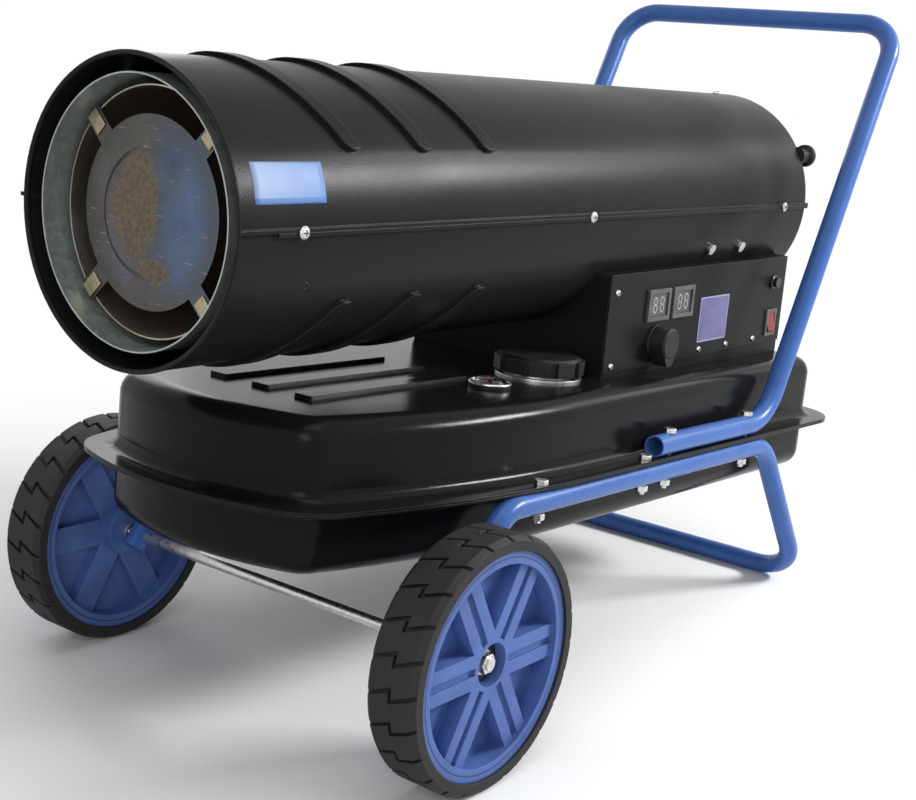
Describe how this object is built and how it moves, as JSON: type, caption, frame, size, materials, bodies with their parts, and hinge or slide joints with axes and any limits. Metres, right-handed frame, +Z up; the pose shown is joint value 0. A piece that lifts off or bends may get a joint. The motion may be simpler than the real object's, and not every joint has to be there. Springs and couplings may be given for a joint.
{
  "type": "forced air heater",
  "caption": "Oil-fired forced air heater: round casing over a fuel tank on a two-wheel cart with a bent-tube handle, control panel, fan and burner.",
  "frame": {"origin": "on the floor, under the middle of the object's bounding box", "axes": "+Z up, the warm air leaves towards -X, the control panel faces -Y"},
  "size_m": [1.152, 0.57, 0.7735],
  "materials": {
    "black_paint": "satin black powder coat",
    "tank_gloss": "glossy black powder coat",
    "blue_paint": "blue powder coat",
    "blue_plastic": "blue moulded plastic",
    "tyre_black": "matt black rubber",
    "zinc": "bright zinc plate",
    "galvanised": "galvanised sheet",
    "heat_steel": "heat-tinted stainless sheet",
    "guard_wire": "black coated wire",
    "dark_metal": "dark cast case",
    "aluminium": "plain sheet",
    "brass": "turned brass",
    "copper_line": "drawn tube",
    "ceramic": "glazed white ceramic",
    "black_plastic": "black moulded plastic",
    "red_plastic": "red gloss plastic",
    "silver_trim": "silver plastic trim",
    "display_glass": "dark tinted window",
    "gauge_clear": "clear dome",
    "board_green": "green circuit board",
    "strainer_mesh": "perforated sheet",
    "seal_rubber": "soft rubber",
    "float_white": "moulded float"
  },
  "bodies": {
    "heater": {"upper_shell": "black_paint", "lower_shell": "black_paint", "seam_screws": "zinc", "heat_shield": "galvanised", "combustion_chamber": "heat_steel", "spacer_pins": "zinc", "flame_deflector": "heat_steel", "deflector_clips": "zinc", "burner_plate": "heat_steel", "burner_head": "heat_steel", "fuel_nozzle": "brass", "spark_electrodes": "ceramic", "flame_sensor": "black_plastic", "motor_housing": "dark_metal", "air_pump": "dark_metal", "filter_cover": "black_plastic", "motor_bracket": "galvanised", "bracket_fasteners": "zinc", "fan_guard": "guard_wire", "cord_hook": "black_plastic", "control_box": "black_paint", "control_panel": "black_paint", "far_side_cover": "black_paint", "panel_screws": "zinc", "display_frames": "silver_trim", "display_windows": "display_glass", "display_board": "black_plastic", "thermostat_body": "black_plastic", "switch_body": "silver_trim", "fuse_holder": "black_plastic", "cord_gland": "black_plastic", "ignition_transformer": "black_plastic", "control_board": "board_green", "tank_upper": "tank_gloss", "tank_lower": "tank_gloss", "drain_plug": "zinc", "filler_neck": "zinc", "fuel_strainer": "strainer_mesh", "gauge_body": "black_plastic", "gauge_lens": "gauge_clear", "fuel_pickup": "brass", "fuel_line": "copper_line", "air_line": "copper_line", "handle": "blue_paint", "cart_frame": "blue_paint", "cart_fasteners": "zinc", "axle": "zinc", "axle_fittings": "zinc"},
    "near_wheel": {"near_rim": "blue_plastic", "near_tyre": "tyre_black"},
    "far_wheel": {"far_rim": "blue_plastic", "far_tyre": "tyre_black"},
    "fan_rotor": {"fan": "aluminium", "motor_shaft": "zinc"},
    "knob": {"thermostat_knob": "black_plastic"},
    "rocker": {"power_rocker": "red_plastic"},
    "cap_seal": {"cap_gasket": "seal_rubber"},
    "cap": {"fuel_cap": "black_plastic"},
    "needle": {"gauge_needle": "red_plastic"},
    "float": {"float_arm": "float_white"}
  },
  "joints": [
    {"name": "near_wheel_roll", "type": "hinge", "parent": "heater", "child": "near_wheel", "pos_m": [-0.358, -0.2575, 0.125], "axis": [0, 1, 0], "continuous": true},
    {"name": "far_wheel_roll", "type": "hinge", "parent": "heater", "child": "far_wheel", "pos_m": [-0.358, 0.2575, 0.125], "axis": [0, 1, 0], "continuous": true},
    {"name": "fan_spin", "type": "hinge", "parent": "heater", "child": "fan_rotor", "pos_m": [0.161, 0, 0.514], "axis": [1, 0, 0], "continuous": true},
    {"name": "thermostat_turn", "type": "hinge", "parent": "heater", "child": "knob", "pos_m": [0.121, -0.1398, 0.361], "axis": [0, 1, 0], "range_deg": [0, 270]},
    {"name": "power_tip", "type": "hinge", "parent": "heater", "child": "rocker", "pos_m": [0.43, -0.1375, 0.358], "axis": [1, 0, 0], "range_deg": [0, 16]},
    {"name": "cap_lift", "type": "slide", "parent": "heater", "child": "cap_seal", "axis": [0.0314, 0, 0.9995], "range_m": [0, 0.02]},
    {"name": "cap_turn", "type": "hinge", "parent": "cap_seal", "child": "cap", "pos_m": [-0.04394, -0.089, 0.34246], "axis": [0.0314, 0, 0.9995], "range_deg": [0, 90]},
    {"name": "float_swing", "type": "hinge", "parent": "heater", "child": "float", "pos_m": [-0.15828, -0.104, 0.30173], "axis": [0, -1, 0], "range_deg": [0, 50]},
    {"name": "needle_turn", "type": "hinge", "parent": "heater", "child": "needle", "pos_m": [-0.15723, -0.104, 0.33531], "axis": [0.0314, 0, 0.9995], "range_deg": [0, 90]}
  ],
  "couplings": [
    {"joint": "needle_turn", "follows": "float_swing", "ratio": 1.8}
  ]
}
